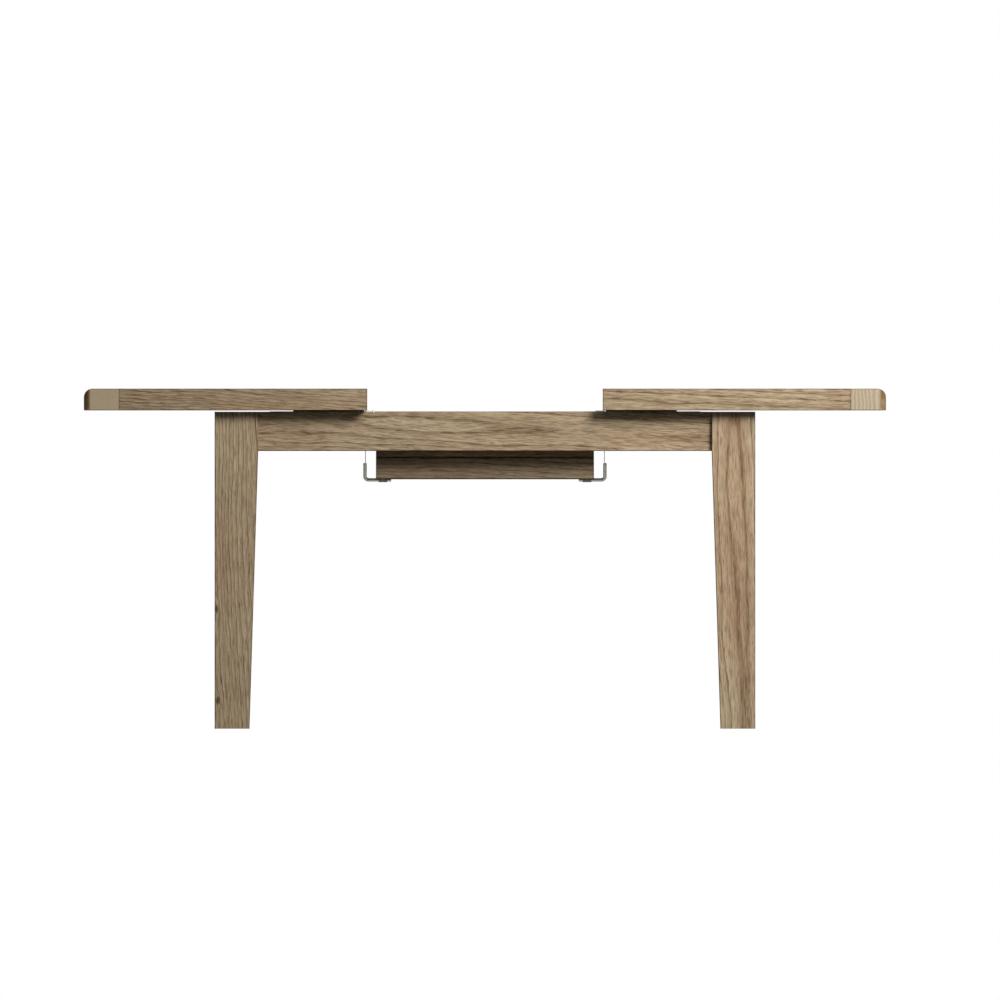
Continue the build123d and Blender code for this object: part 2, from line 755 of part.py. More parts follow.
def carriage():
    """The back right carriage: slider in the rail, neck, riser and screwing flange."""
    slot_low = rail_bottom + rail_wall + rail_lip + neck_gap
    slot_high = rail_top - rail_wall - rail_lip - neck_gap
    x_range = (carriage_near, carriage_far)
    slider_y = (rail_inner + rail_wall + slider_lip_gap, long_apron_inner - rail_wall - slider_side_gap)
    slider_z = (rail_bottom + rail_wall + slider_gap, rail_top - rail_wall - slider_gap)
    slider = block(*x_range, *slider_y, *slider_z)
    neck = block(*x_range, riser_inner, slider_y[1], slot_low, slot_high)
    riser = block(*x_range, riser_inner, riser_outer, slot_low, panel_bottom)
    flange = block(*x_range, flange_inner, riser_outer, panel_bottom - flange_thickness, panel_bottom)
    body = slider + neck + riser + flange
    holes = [top_pilot((x, flange_screw_y, panel_bottom - flange_thickness)) for x in carriage_screw_x]
    return cut_all(body, holes)


def top_half(shoulder_x):
    """Everything that the right half shares with the left, with shoulder screws at shoulder_x."""
    half = {}
    seats = top_screw_seats()
    shoulders = [(shoulder_x, -leaf_centre_y), (shoulder_x, leaf_centre_y)]
    pilots = [top_pilot(seat) for seat in seats]
    pilots += [shoulder_pilot(x, y) for x, y in shoulders]
    field = (-plank_field / 2, plank_width, planks_per_half)
    half["top_planks"] = table_panel(*field, pull_out, board_inner, pilots, True)
    half["top_end_board"] = [end_board()]
    back = prism_x(lipping_outline(arris), pull_out, board_inner)
    half["top_back_lipping"] = [back]
    half["top_front_lipping"] = [flip_y(back)]
    half["top_battens"] = battens()
    half["top_screws"] = [top_screw(seat) for seat in seats]
    back_carriage = carriage()
    half["slide_carriages"] = [back_carriage, flip_y(back_carriage)]
    half["shoulder_screws"] = [shoulder_screw(x, y) for x, y in shoulders]
    return half


for name, pieces in top_half(pull_out + keeper_inset).items():
    parts["right_" + name] = pieces
for name, pieces in top_half(pull_out + latch_inset).items():
    parts["left_" + name] = [flip_x(piece) for piece in pieces]
parts["left_latch_front"] = [latch_lever(-pull_out - latch_inset, -leaf_centre_y)]
parts["left_latch_back"] = [latch_lever(-pull_out - latch_inset, leaf_centre_y)]


# ---- The leaf, built raised and laid flat, then moved to where it is stored ----
leaf_half_x = leaf_length / 2
lever_x = leaf_half_x - latch_inset
keeper_x = -leaf_half_x + keeper_inset
block_far = leaf_half_x - arm_block_inset
block_near = block_far - arm_block_length
saddle_far = leaf_half_x - saddle_inset
saddle_near = saddle_far - saddle_length
arm_block_bottom = raised_foot_z + rod_radius + saddle_clearance
knuckle_pitch = hinge_length / knuckle_count


def hinge_axis_bar(x_low, length, radius):
    return bar((x_low, 0, hinge_axis_z), (1, 0, 0), radius, length)


def hinge_reliefs():
    """Round hollows for the knuckles."""
    length = hinge_length + 2 * knuckle_relief
    starts = [x - length / 2 for x in hinge_places]
    return [hinge_axis_bar(start, length, knuckle_radius + knuckle_relief) for start in starts]


def hinge_screw_points(x, side):
    offsets = (-hinge_screw_spacing, 0, hinge_screw_spacing)
    return [(x + offset, side * hinge_screw_gap, table_height) for offset in offsets]


def hinge_screw(point, clearance):
    """A countersunk screw, flush with the plate, down into the leaf."""
    x, y, z = point
    neck = hinge_screw_radius + clearance
    wide = hinge_screw_head_radius + clearance
    head_middle = Pos(x, y, z - hinge_screw_head_height / 2)
    head = head_middle * Cone(neck, wide, hinge_screw_head_height)
    return head + bar(point, (0, 0, -1), neck, hinge_screw_length)


def hinge_plate(x, side, first):
    """One plate of a hinge, on the front (-1) or back (+1) half of the leaf."""
    x_range = (x - hinge_length / 2, x + hinge_length / 2)
    y_range = sorted((0, side * hinge_plate_width))
    plate = block(*x_range, *y_range, table_height - hinge_plate_thickness, table_height)
    start = x - hinge_length / 2
    for index in range(knuckle_count):
        place = start + index * knuckle_pitch
        if index % 2 == first:
            length = knuckle_pitch - knuckle_gap
            plate = plate + hinge_axis_bar(place + knuckle_gap / 2, length, knuckle_radius)
        else:
            plate = plate - hinge_axis_bar(place, knuckle_pitch, knuckle_radius + knuckle_relief)
    plate = plate - hinge_axis_bar(start, hinge_length, hinge_pin_radius + running_clearance)
    for point in hinge_screw_points(x, side):
        plate = plate - hinge_screw(point, running_clearance)
    return plate


def hinge_cuts(side):
    """What the hinges take out of one half of the leaf."""
    cuts = hinge_reliefs()
    for x in hinge_places:
        y_range = sorted((0, side * (hinge_plate_width + running_clearance)))
        x_range = (x - hinge_length / 2 - running_clearance, x + hinge_length / 2 + running_clearance)
        cuts.append(block(*x_range, *y_range, table_height - hinge_plate_thickness, table_height))
        cuts += [hinge_screw(point, running_clearance) for point in hinge_screw_points(x, side)]
    return cuts


def small_screw(seat):
    size = (small_screw_radius, small_screw_length, small_screw_head_radius, small_screw_head_height)
    return screw(seat, (0, 0, 1), *size)


def small_pilot(seat):
    return bar(seat, (0, 0, 1), small_screw_radius + running_clearance, small_screw_length)


def saddle_screw_seats(foot_y):
    x = (saddle_near + saddle_far) / 2
    z = arm_block_bottom - saddle_thickness
    return [(x, foot_y - saddle_tab, z), (x, foot_y + saddle_tab, z)]


def block_screw_seats(foot_y):
    x = (block_near + saddle_near) / 2
    z = panel_bottom - block_screw_grip
    return [(x, foot_y - saddle_tab, z), (x, foot_y + saddle_tab, z)]


def arm_block(foot_y):
    """The right-hand wooden block above an arm's foot."""
    half = arm_block_depth / 2
    body = block(block_near, block_far, foot_y - half, foot_y + half, arm_block_bottom, panel_bottom)
    for seat in saddle_screw_seats(foot_y) + block_screw_seats(foot_y):
        body = body - small_pilot(seat)
    bore = small_screw_head_radius + counterbore_clearance
    for seat in block_screw_seats(foot_y):
        body = body - bar(seat, (0, 0, -1), bore, edge_depth)
    return body


def saddle(foot_y):
    """The right-hand steel strap that holds an arm's foot up to its block."""
    inner = rod_radius + saddle_clearance
    outer = inner + saddle_thickness
    axis_start = (saddle_near, foot_y, raised_foot_z)
    strap = bar(axis_start, (1, 0, 0), outer, saddle_length)
    x_range = (saddle_near, saddle_far)
    cheek_z = (raised_foot_z, arm_block_bottom)
    strap = strap + block(*x_range, foot_y - outer, foot_y + outer, *cheek_z)
    half = arm_block_depth / 2
    tab_z = (arm_block_bottom - saddle_thickness, arm_block_bottom)
    strap = strap + block(*x_range, foot_y - half, foot_y + half, *tab_z)
    strap = strap - bar(axis_start, (1, 0, 0), inner, saddle_length)
    strap = strap - block(*x_range, foot_y - inner, foot_y + inner, *cheek_z)
    above = (arm_block_bottom, arm_block_bottom + outer)
    strap = strap - block(*x_range, foot_y - half, foot_y + half, *above)
    return cut_all(strap, [small_pilot(seat) for seat in saddle_screw_seats(foot_y)])


def leaf_side(side, pilots):
    """Planks and lipping of the front (-1) or back (+1) half of the leaf, laid flat."""
    near = leaf_joint / 2 if side > 0 else -front_y + lipping_width
    cuts = hinge_cuts(side)
    planks = table_panel(near, leaf_plank_width, leaf_planks, -leaf_half_x, leaf_half_x, pilots, False)
    joint_plank = 0 if side > 0 else leaf_planks - 1
    planks[joint_plank] = cut_all(planks[joint_plank], cuts)
    lipping = prism_x(lipping_outline(leaf_arris), -leaf_half_x, leaf_half_x)
    return planks, lipping if side > 0 else flip_y(lipping)


block_pilots = [small_pilot(seat) for foot_y in raised_feet for seat in block_screw_seats(foot_y)]
lower_pilots = [shoulder_pilot(lever_x, -leaf_centre_y), shoulder_pilot(keeper_x, -leaf_centre_y)]
lower_pilots += both_sides(block_pilots)
upper_pilots = [shoulder_pilot(lever_x, leaf_centre_y), shoulder_pilot(keeper_x, leaf_centre_y)]

lower = {}
lower["leaf_lower_planks"], lower_lipping = leaf_side(-1, lower_pilots)
lower["leaf_lower_lipping"] = [lower_lipping]
lower["leaf_arm_blocks"] = both_sides([arm_block(y) for y in raised_feet])
lower["leaf_arm_saddles"] = both_sides([saddle(y) for y in raised_feet])
seats = [seat for y in raised_feet for seat in saddle_screw_seats(y) + block_screw_seats(y)]
lower["leaf_arm_screws"] = both_sides([small_screw(seat) for seat in seats])
lower["leaf_lower_hinge_plates"] = [hinge_plate(x, -1, 0) for x in hinge_places]
lower["leaf_hinge_pins"] = [
    hinge_axis_bar(x - hinge_length / 2, hinge_length, hinge_pin_radius) for x in hinge_places
]
lower["leaf_lower_hinge_screws"] = [
    hinge_screw(point, 0) for x in hinge_places for point in hinge_screw_points(x, -1)
]
lower["leaf_lower_shoulder_screws"] = [
    shoulder_screw(lever_x, -leaf_centre_y),
    shoulder_screw(keeper_x, -leaf_centre_y),
]
lower["leaf_lower_latch"] = [latch_lever(lever_x, -leaf_centre_y)]

upper = {}
upper["leaf_upper_planks"], upper_lipping = leaf_side(1, upper_pilots)
upper["leaf_upper_lipping"] = [upper_lipping]
upper["leaf_upper_hinge_plates"] = [hinge_plate(x, 1, 1) for x in hinge_places]
upper["leaf_upper_hinge_screws"] = [
    hinge_screw(point, 0) for x in hinge_places for point in hinge_screw_points(x, 1)
]
upper["leaf_upper_shoulder_screws"] = [
    shoulder_screw(lever_x, leaf_centre_y),
    shoulder_screw(keeper_x, leaf_centre_y),
]
upper["leaf_upper_latch"] = [latch_lever(lever_x, leaf_centre_y)]

stored = Pos(0, store_shift, -leaf_drop)
folded = stored * Pos(0, 0, hinge_axis_z) * Rot(180, 0, 0) * Pos(0, 0, -hinge_axis_z)
for name, pieces in lower.items():
    parts[name] = [stored * piece for piece in pieces]
for name, pieces in upper.items():
    parts[name] = [folded * piece for piece in pieces]

# ---- Write one file for each node ----
for name, pieces in parts.items():
    solids = [solid for piece in pieces for solid in piece.solids()]
    export_step(Compound(children=solids), f"parts/{name}.step")

print("nodes", len(parts))
print("swing, degrees", round(swing, 4))
print("front and back pivots, y", [round(y, 4) for y in pivots_y], "z", pivot_z)
print("stored feet, y", [round(y + stored_reach, 4) for y in pivots_y], "z", round(stored_foot_z, 4))
print("stored leaf hinge, y", round(store_shift, 4), "z", round(hinge_axis_z - leaf_drop, 4))
print("latches, y", leaf_centre_y, "stored", round(store_shift - leaf_centre_y, 4))
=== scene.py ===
import json
import math
import bpy
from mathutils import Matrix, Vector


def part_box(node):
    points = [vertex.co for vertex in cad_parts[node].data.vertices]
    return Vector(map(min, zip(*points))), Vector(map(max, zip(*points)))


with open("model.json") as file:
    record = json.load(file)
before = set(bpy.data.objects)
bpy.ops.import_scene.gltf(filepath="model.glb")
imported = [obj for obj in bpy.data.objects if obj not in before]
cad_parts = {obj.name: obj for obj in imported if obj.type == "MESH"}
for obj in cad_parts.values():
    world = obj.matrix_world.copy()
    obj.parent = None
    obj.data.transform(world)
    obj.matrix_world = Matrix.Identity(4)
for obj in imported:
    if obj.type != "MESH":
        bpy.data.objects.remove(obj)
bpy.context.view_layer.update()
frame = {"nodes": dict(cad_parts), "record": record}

nodes = frame["nodes"]


# ---- Node writing ----
class Shader:
    """A material's node tree, written as expressions on sockets."""

    def __init__(self, name):
        self.material = bpy.data.materials.new(name)
        self.material.use_nodes = True
        self.tree = self.material.node_tree
        self.tree.nodes.clear()
        self.surface = self.tree.nodes.new("ShaderNodeBsdfPrincipled")
        output = self.tree.nodes.new("ShaderNodeOutputMaterial")
        self.tree.links.new(self.surface.outputs["BSDF"], output.inputs["Surface"])
        self.coordinates = self.tree.nodes.new("ShaderNodeTexCoord")

    def put(self, socket, value):
        """Link a socket, or set a plain value."""
        if isinstance(value, bpy.types.NodeSocket):
            self.tree.links.new(value, socket)
        else:
            socket.default_value = value

    def math(self, operation, *values):
        node = self.tree.nodes.new("ShaderNodeMath")
        node.operation = operation
        for socket, value in zip(node.inputs, values):
            self.put(socket, value)
        return node.outputs[0]

    def add(self, a, b):
        return self.math("ADD", a, b)

    def times(self, a, b):
        return self.math("MULTIPLY", a, b)

    def axes(self, vector):
        node = self.tree.nodes.new("ShaderNodeSeparateXYZ")
        self.put(node.inputs[0], vector)
        return node.outputs[0], node.outputs[1], node.outputs[2]

    def vector(self, x, y, z):
        node = self.tree.nodes.new("ShaderNodeCombineXYZ")
        for socket, value in zip(node.inputs, (x, y, z)):
            self.put(socket, value)
        return node.outputs[0]

    def noise(self, vector, scale, detail=2.0, roughness=0.5):
        """Noise with its middle at 0.5."""
        node = self.tree.nodes.new("ShaderNodeTexNoise")
        self.put(node.inputs["Vector"], vector)
        node.inputs["Scale"].default_value = scale
        node.inputs["Detail"].default_value = detail
        node.inputs["Roughness"].default_value = roughness
        return node.outputs["Fac"]

    def white(self, value):
        node = self.tree.nodes.new("ShaderNodeTexWhiteNoise")
        node.noise_dimensions = "1D"
        self.put(node.inputs["W"], value)
        return node.outputs["Value"]

    def map(self, value, low, high, to_low=0.0, to_high=1.0, smooth=True):
        node = self.tree.nodes.new("ShaderNodeMapRange")
        node.interpolation_type = "SMOOTHSTEP" if smooth else "LINEAR"
        for socket, number in zip(node.inputs, (value, low, high, to_low, to_high)):
            self.put(socket, number)
        return node.outputs[0]

    def mix(self, share, a, b, blend="MIX"):
        node = self.tree.nodes.new("ShaderNodeMix")
        node.data_type = "RGBA"
        node.blend_type = blend
        self.put(node.inputs["Factor"], share)
        colours = [socket for socket in node.inputs if socket.type == "RGBA"]
        for socket, value in zip(colours, (a, b)):
            if isinstance(value, tuple):
                value = (*value, 1.0)
            self.put(socket, value)
        return [socket for socket in node.outputs if socket.type == "RGBA"][0]

    def bump(self, height, distance, strength):
        node = self.tree.nodes.new("ShaderNodeBump")
        node.inputs["Strength"].default_value = strength
        node.inputs["Distance"].default_value = distance
        self.put(node.inputs["Height"], height)
        self.put(self.surface.inputs["Normal"], node.outputs["Normal"])

    def set(self, name, value):
        if isinstance(value, tuple):
            value = (*value, 1.0)
        self.put(self.surface.inputs[name], value)


def srgb(red, green, blue):
    """A colour from 0 to 255 as the renderer's linear numbers."""
    def linear(value):
        value = value / 255
        return value / 12.92 if value <= 0.04045 else ((value + 0.055) / 1.055) ** 2.4
    return (linear(red), linear(green), linear(blue))


# ---- Wood ----
OAK = {
    "light": srgb(189, 171, 140),
    "middle": srgb(170, 149, 119),
    "dark": srgb(104, 76, 50),
    "pore": srgb(76, 52, 33),
    "red": srgb(166, 130, 103),
    # edge: the colour of darkened eased edges, which is partly painted shade, and of oil-soaked sawn ends
    "edge": srgb(84, 60, 33),
}
END_OAK = {**OAK, "edge": srgb(118, 90, 56)}
PALE_END_OAK = {**END_OAK, "light": srgb(184, 170, 146), "dark": srgb(146, 124, 94)}
PLAIN_TIMBER = {
    "light": srgb(205, 178, 138),
    "middle": srgb(188, 157, 116),
    "dark": srgb(158, 123, 84),
    "pore": srgb(140, 105, 70),
    "red": srgb(190, 150, 112),
    "edge": srgb(150, 118, 80),
}
LOG_STEP = 1.731  # how much further along its log each next seed is cut
PLAIN_RING = 0.0085  # a year's growth where no other is given
END_LINES = 0.0032  # from one ring to the next on a sawn end
END_CONTRAST = 0.3
OIL_DEEP = 0.0042  # how far oil has soaked into a sawn end
OIL_FULL = 0.0008  # how far it has soaked in fully


def wood(name, grain, seed, pith, lean, ring, colours=OAK, boards=None, knots=(), tone=1.0, figure=1.0,
         flecks=0.3, redness=0.4, end_lines=END_LINES, end_contrast=END_CONTRAST, ends=None):
    """Sawn wood whose fibres run along an axis of the row frame.

    pith is where the log's heart runs beside the piece, across the fibres. lean tilts the log, which
    draws the arched figure, and ring is the width of a year's growth. boards is (axis, start, width)
    where one node holds several boards, and ends are the two sawn ends that have taken up oil.
    """
    shader = Shader(name)
    place = shader.coordinates.outputs["Object"]
    x, y, z = shader.axes(place)
    along, across, deep = {"X": (x, z, y), "Y": (y, x, z), "Z": (z, x, y)}[grain]
    normal = shader.axes(shader.coordinates.outputs["Normal"])
    size = [shader.math("ABSOLUTE", part) for part in normal]
    end_face = size["XYZ".index(grain)]

    # Each board of a node is cut from its own place in the log.
    shift_along = seed * LOG_STEP
    shift_pith = 0.0
    board_tone = 0.5
    if boards:
        axis, start, width = boards
        coordinate = {"X": x, "Y": y, "Z": z}[axis]
        index = shader.math("FLOOR", shader.math("DIVIDE", shader.add(coordinate, -start), width))
        pick = shader.white(shader.add(index, seed * 7.13))
        board_tone = shader.white(shader.add(index, seed * 3.37 + 40.0))
        shift_along = shader.add(shader.times(pick, 9.0), seed * LOG_STEP)
        shift_pith = shader.add(shader.times(pick, 0.16), -0.08)
        across, deep = (coordinate, z) if grain == "X" else (across, deep)
    u = shader.add(along, shift_along)

    # Slow waves bend the rings, quick ones ruffle them.
    slow = shader.vector(shader.times(u, 1.6), shader.times(across, 7.0), shader.times(deep, 7.0))
    sway = shader.add(shader.noise(slow, 1.0, 2.0), -0.5)
    quick = shader.vector(shader.times(u, 9.0), shader.times(across, 45.0), shader.times(deep, 45.0))
    ruffle = shader.add(shader.noise(quick, 1.0, 2.0, 0.6), -0.5)
    v = shader.add(across, shader.times(sway, 0.05 * figure))
    v = shader.add(v, shader.times(ruffle, 0.009))
    v = shader.add(v, shader.add(shader.times(u, lean), shift_pith))
    w = shader.add(deep, shader.times(sway, 0.03 * figure))
    dv = shader.add(v, -pith[0])
    dw = shader.add(w, -pith[1])
    radius = shader.math("SQRT", shader.add(shader.times(dv, dv), shader.times(dw, dw)))

    # A knot pushes the rings aside and is dark in its middle.
    knot_dark = None
    for knot_along, knot_across, knot_size in knots:
        ku = shader.math("DIVIDE", shader.add(along, -knot_along), knot_size * 2.2)
        kv = shader.math("DIVIDE", shader.add(across, -knot_across), knot_size)
        reach = shader.add(shader.times(ku, ku), shader.times(kv, kv))
        push = shader.math("DIVIDE", knot_size * 0.9, shader.add(reach, 1.0))
        radius = shader.add(radius, push)
        spot = shader.map(reach, 0.05, 0.55, 1.0, 0.0)
        knot_dark = spot if knot_dark is None else shader.math("MAXIMUM", knot_dark, spot)

    # Rings: a dark porous start that fades into pale late wood.
    spacing_drift = shader.noise(shader.vector(0.0, shader.times(radius, 22.0), seed), 1.0, 1.0)
    phase = shader.math("DIVIDE", radius, ring)
    phase = shader.add(phase, shader.times(spacing_drift, 2.2))
    fraction = shader.math("FRACT", phase)
    rise = shader.map(fraction, 0.0, 0.10)
    fall = shader.map(fraction, 0.12, 0.30, 1.0, 0.0)
    early = shader.times(rise, fall)
    ring_pick = shader.white(shader.add(shader.math("FLOOR", phase), seed))
    early = shader.times(early, shader.map(ring_pick, 0.0, 1.0, 0.45, 1.0, smooth=False))

    # Fibres and pores: marks drawn out along the grain.
    fibre_place = shader.vector(shader.times(u, 34.0), shader.times(v, 520.0), shader.times(w, 520.0))
    fibre = shader.noise(fibre_place, 1.0, 2.0, 0.6)
    dash_place = shader.vector(shader.times(u, 30.0), shader.times(v, 330.0), shader.times(w, 330.0))
    dash = shader.map(shader.noise(dash_place, 1.0, 1.0, 0.5), 0.52, 0.58)
    streak_place = shader.vector(shader.times(u, 8.0), shader.times(v, 170.0), shader.times(w, 170.0))
    streak = shader.noise(streak_place, 1.0, 2.0, 0.6)
    patch_place = shader.vector(shader.times(u, 2.2), shader.times(across, 9.0), shader.times(deep, 9.0))
    patch = shader.noise(patch_place, 1.0, 2.0)

    # On the sawn end the fibres are seen head on: fine rings and dots, no streaks.
    side_share = shader.map(end_face, 0.55, 0.85, 1.0, 0.0)
    end_share = shader.math("SUBTRACT", 1.0, side_share)
    end_across = shader.add(dv, shader.times(sway, 0.02))
    end_wave = shader.add(shader.times(end_across, 2 * math.pi / end_lines), seed)
    end_ring = shader.map(shader.math("SINE", end_wave), -1.0, 1.0, 0.0, 1.0, smooth=False)
    end_dots = shader.noise(place, 900.0, 2.0, 0.7)

    broken = shader.map(shader.add(streak, shader.times(ruffle, 0.4)), 0.30, 0.58)
    dark_share = shader.times(shader.times(early, shader.add(shader.times(broken, 0.6), 0.4)), side_share)
    pore_share = shader.times(shader.times(dash, shader.add(shader.times(early, 0.7), flecks)), side_share)
    late = shader.map(fraction, 0.35, 0.95)
    light_share = shader.add(shader.times(late, 0.6), shader.times(shader.map(streak, 0.3, 0.7), 0.5))

    base = shader.mix(light_share, colours["middle"], colours["light"])
    base = shader.mix(shader.times(shader.map(patch, 0.42, 0.68), redness), base, colours["red"])
    base = shader.mix(shader.times(dark_share, 0.9), base, colours["dark"])
    base = shader.mix(shader.times(pore_share, 0.75), base, colours["pore"])
    fibre_share = shader.times(shader.map(fibre, 0.48, 0.62), 0.5)
    base = shader.mix(shader.times(fibre_share, side_share), base, colours["dark"])
    end_mix = shader.mix(shader.times(end_ring, end_contrast), colours["light"], colours["dark"])
    end_mix = shader.mix(shader.times(shader.map(end_dots, 0.5, 0.7), 0.35), end_mix, colours["dark"])
    base = shader.mix(end_share, base, end_mix)
    if knot_dark is not None:
        base = shader.mix(shader.times(shader.times(knot_dark, side_share), 0.85), base, colours["pore"])

    # Eased edges and rounded corners are darkened towards the edge colour: partly painted shade, where the
    # rounds turn from the light, and partly more oil and handling.
    xy = shader.times(size[0], size[1])
    yz = shader.times(size[1], size[2])
    zx = shader.times(size[2], size[0])
    edge_shade_and_oil = shader.map(shader.add(shader.add(xy, yz), shader.times(zx, 0.3)), 0.04, 0.34)
    # Noise makes this darkening patchy: the painted edge shade as well as the oil darkening.
    mottle = shader.map(shader.noise(place, 34.0, 3.0, 0.6), 0.25, 0.6, 0.62, 1.0)
    base = shader.mix(shader.times(edge_shade_and_oil, mottle), base, colours["edge"])

    # Oil has soaked a little way into the sawn ends.
    if ends:
        reach = shader.math("ABSOLUTE", shader.add(along, -(ends[0] + ends[1]) / 2))
        half = (ends[1] - ends[0]) / 2
        soaked = shader.map(reach, half - OIL_DEEP, half - OIL_FULL, 0.0, 0.5)
        base = shader.mix(soaked, base, colours["edge"])

    # Boards differ a little in tone, and the whole piece is uneven.
    uneven = shader.noise(place, 5.0, 2.0, 0.5)
    brightness = shader.add(shader.times(shader.add(uneven, -0.5), 0.28), tone)
    if boards:
        brightness = shader.add(brightness, shader.times(shader.add(board_tone, -0.5), 0.16))
    grey = shader.vector(brightness, brightness, brightness)
    base = shader.mix(1.0, base, grey, "MULTIPLY")
    shader.set("Base Color", base)

    rough = shader.add(shader.times(pore_share, 0.15), shader.map(streak, 0.3, 0.7, 0.70, 0.62))
    shader.set("Roughness", rough)
    shader.set("Specular IOR Level", 0.22)
    height = shader.add(shader.times(pore_share, -0.8), shader.times(dark_share, -0.45))
    height = shader.add(height, shader.times(fibre, 0.25))
    height = shader.add(height, shader.times(end_dots, shader.times(end_share, 0.3)))
    shader.bump(height, 0.00035, 0.8)
    return shader.material


# ---- Metals ----
def brushed(name, colour, rough, direction, metallic=1.0, spots=0.12):
    """Plated or drawn metal with fine marks along an axis and faint clouds."""
    shader = Shader(name)
    place = shader.coordinates.outputs["Object"]
    x, y, z = shader.axes(place)
    stretch = {"X": (40.0, 1400.0, 1400.0), "Y": (1400.0, 40.0, 1400.0), "Z": (1400.0, 1400.0, 40.0)}
    marks_place = shader.vector(*[shader.times(part, k) for part, k in zip((x, y, z), stretch[direction])])
    marks = shader.noise(marks_place, 1.0, 3.0, 0.6)
    clouds = shader.noise(place, 60.0, 3.0, 0.6)
    dull = tuple(part * 0.72 for part in colour)
    share = shader.times(shader.map(clouds, 0.4, 0.7), spots * 4)
    shader.set("Base Color", shader.mix(share, colour, dull))
    shader.set("Metallic", metallic)
    spread = shader.add(shader.times(shader.add(marks, -0.5), 0.22), rough)
    shader.set("Roughness", shader.add(spread, shader.times(share, 0.12)))
    shader.bump(shader.add(marks, shader.times(clouds, 0.5)), 0.00006, 0.6)
    return shader.material


def spangled_zinc(name):
    """Galvanised steel: pale crystals with slightly different greys."""
    shader = Shader(name)
    place = shader.coordinates.outputs["Object"]
    cells = shader.tree.nodes.new("ShaderNodeTexVoronoi")
    shader.put(cells.inputs["Vector"], place)
    cells.inputs["Scale"].default_value = 260.0
    shade = shader.axes(cells.outputs["Color"])[0]
    clouds = shader.noise(place, 45.0, 3.0, 0.6)
    colour = shader.mix(shader.times(shade, 0.6), srgb(205, 206, 208), srgb(168, 170, 172))
    colour = shader.mix(shader.times(shader.map(clouds, 0.5, 0.8), 0.35), colour, srgb(140, 140, 138))
    shader.set("Base Color", colour)
    shader.set("Metallic", 0.9)
    shader.set("Roughness", shader.add(shader.times(shade, 0.14), 0.34))
    shader.bump(shader.add(clouds, shader.times(shade, 0.3)), 0.00008, 0.5)
    return shader.material


# ---- Plastics and rubber ----
def moulded(name, colour, rough, grain=1400.0, specular=0.4):
    """Moulded plastic or rubber: a fine texture, faint scuffs and dusty patches."""
    shader = Shader(name)
    place = shader.coordinates.outputs["Object"]
    fine = shader.noise(place, grain, 2.0, 0.6)
    scuffs = shader.map(shader.noise(place, 120.0, 4.0, 0.7), 0.52, 0.75)
    dust = shader.map(shader.noise(place, 18.0, 2.0, 0.5), 0.45, 0.8)
    mottle = tuple(min(1.0, part * 0.8 + 0.035) for part in colour)
    tint = shader.mix(shader.times(scuffs, 0.5), colour, mottle)
    shader.set("Base Color", shader.mix(shader.times(dust, 0.25), tint, mottle))
    shader.set("Roughness", shader.add(shader.times(scuffs, 0.12), rough))
    shader.set("Specular IOR Level", specular)
    shader.bump(fine, 0.00008, 0.5)
    return shader.material


def paint(names, material):
    for name in names:
        mesh = nodes[name].data
        mesh.materials.clear()
        mesh.materials.append(material)


# ---- Oak pieces ----
def middle(name, axis):
    low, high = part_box(name)
    return (low[axis] + high[axis]) / 2


def legs():
    """Each leg has its own log. A knot is (up the leg, across it, size)."""
    looks = {
        "leg_front_left": {
            "seed": 1.0, "offset": (0.11, 0.06), "lean": 0.035, "ring": 0.0066, "redness": 0.35,
            "knots": ((0.065, -0.612, 0.008), (0.275, -0.616, 0.007)),
        },
        "leg_front_right": {
            "seed": 2.0, "offset": (0.03, 0.07), "lean": 0.04, "ring": 0.0052, "redness": 0.5,
            "knots": (),
        },
        "leg_back_left": {
            "seed": 3.0, "offset": (0.04, -0.09), "lean": 0.035, "ring": 0.0066, "redness": 0.4,
            "knots": ((0.41, -0.56, 0.008),),
        },
        "leg_back_right": {
            "seed": 4.0, "offset": (-0.10, -0.05), "lean": 0.018, "ring": 0.0066, "redness": 0.4,
            "knots": (),
        },
    }
    for name, look in looks.items():
        lean = look["lean"]
        heart_x = middle(name, 0) + look["offset"][0] + lean * look["seed"] * LOG_STEP
        heart = (heart_x, middle(name, 1) + look["offset"][1])
        material = wood("oak_" + name, "Z", look["seed"], heart, lean, look["ring"], knots=look["knots"],
                        figure=0.45, flecks=0.22, redness=look["redness"])
        paint([name], material)


def along_x(name, seed, rise, depth, lean, ring=PLAIN_RING, tone=1.0, figure=1.0, flecks=0.3):
    """A board along X. rise and depth place the heart of its log from the board's middle."""
    heart = (middle(name, 2) + rise + lean * seed * LOG_STEP, middle(name, 1) + depth)
    low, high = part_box(name)
    ends = (low[0], high[0]) if "lipping" in name else None
    material = wood("oak_" + name, "X", seed, heart, lean, ring, tone=tone, figure=figure, flecks=flecks,
                    ends=ends)
    paint([name], material)


def along_y(name, seed, offset, lean, ring=PLAIN_RING, colours=OAK, tone=1.0, end_lines=END_LINES,
            end_contrast=END_CONTRAST):
    """A board along Y. offset places the heart of its log from the board's middle, along X and Z."""
    heart = (middle(name, 0) + offset[0] + lean * seed * LOG_STEP, middle(name, 2) + offset[1])
    material = wood("oak_" + name, "Y", seed, heart, lean, ring, colours, tone=tone, figure=0.8,
                    end_lines=end_lines, end_contrast=end_contrast)
    paint([name], material)


